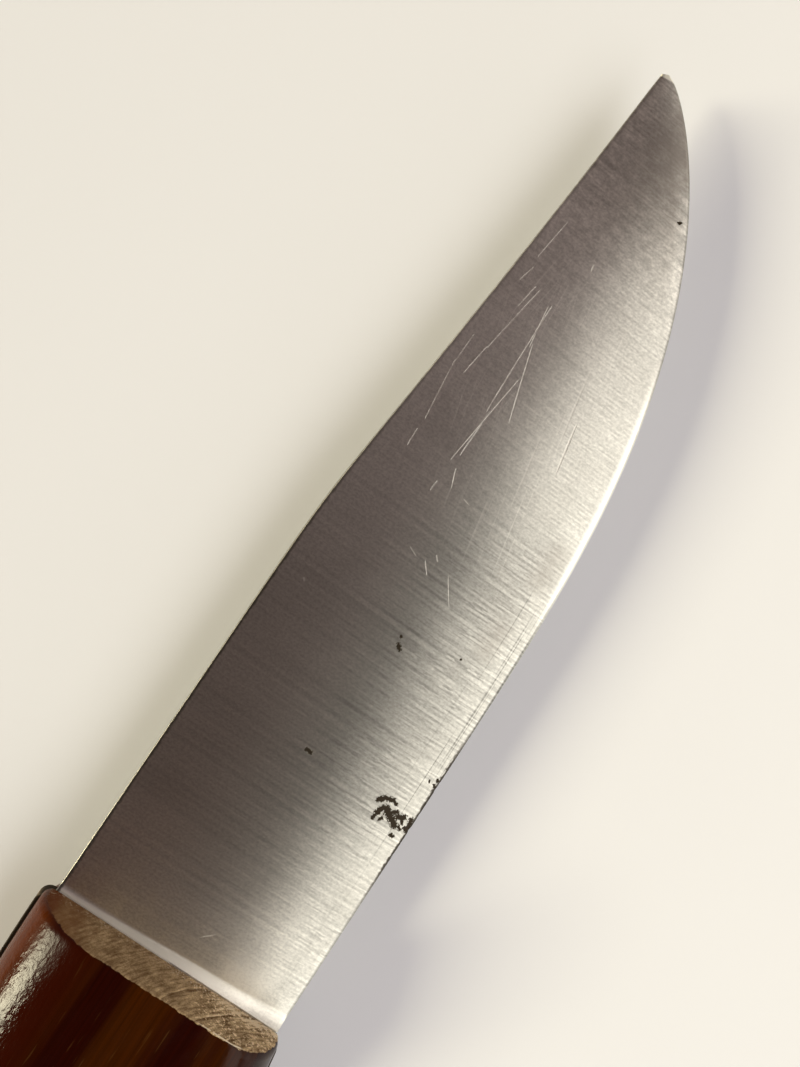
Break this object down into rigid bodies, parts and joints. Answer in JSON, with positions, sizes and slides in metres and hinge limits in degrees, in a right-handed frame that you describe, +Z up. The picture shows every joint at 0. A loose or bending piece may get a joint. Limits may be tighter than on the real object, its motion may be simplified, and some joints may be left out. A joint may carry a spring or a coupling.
{
  "type": "deck knife",
  "caption": "Broad fixed-blade deck knife with a satin ground steel blade, a full-length tang between dark wooden scales, brass rivets and a lined lanyard hole.",
  "frame": {"origin": "middle of the knife's length and width, on the flat side of the left scale that it lies on", "axes": "+X from butt to tip, +Y from cutting edge to spine, +Z up out of the right side, the side in the picture"},
  "size_m": [0.2433, 0.0361, 0.0164],
  "materials": {
    "blade_steel": "satin, ground across the blade, with scratches and a few dark pits",
    "scale_wood": "oiled dark brown wood, worn glossy",
    "rivet_brass": "dull, sanded flush with the wood",
    "tube_brass": "dull"
  },
  "bodies": {
    "root": {"blade": "blade_steel", "right_scale": "scale_wood", "left_scale": "scale_wood", "front_rivet_stud": "rivet_brass", "front_rivet_cap": "rivet_brass", "middle_rivet_stud": "rivet_brass", "middle_rivet_cap": "rivet_brass", "rear_rivet_stud": "rivet_brass", "rear_rivet_cap": "rivet_brass", "lanyard_tube": "tube_brass"}
  },
  "joints": []
}
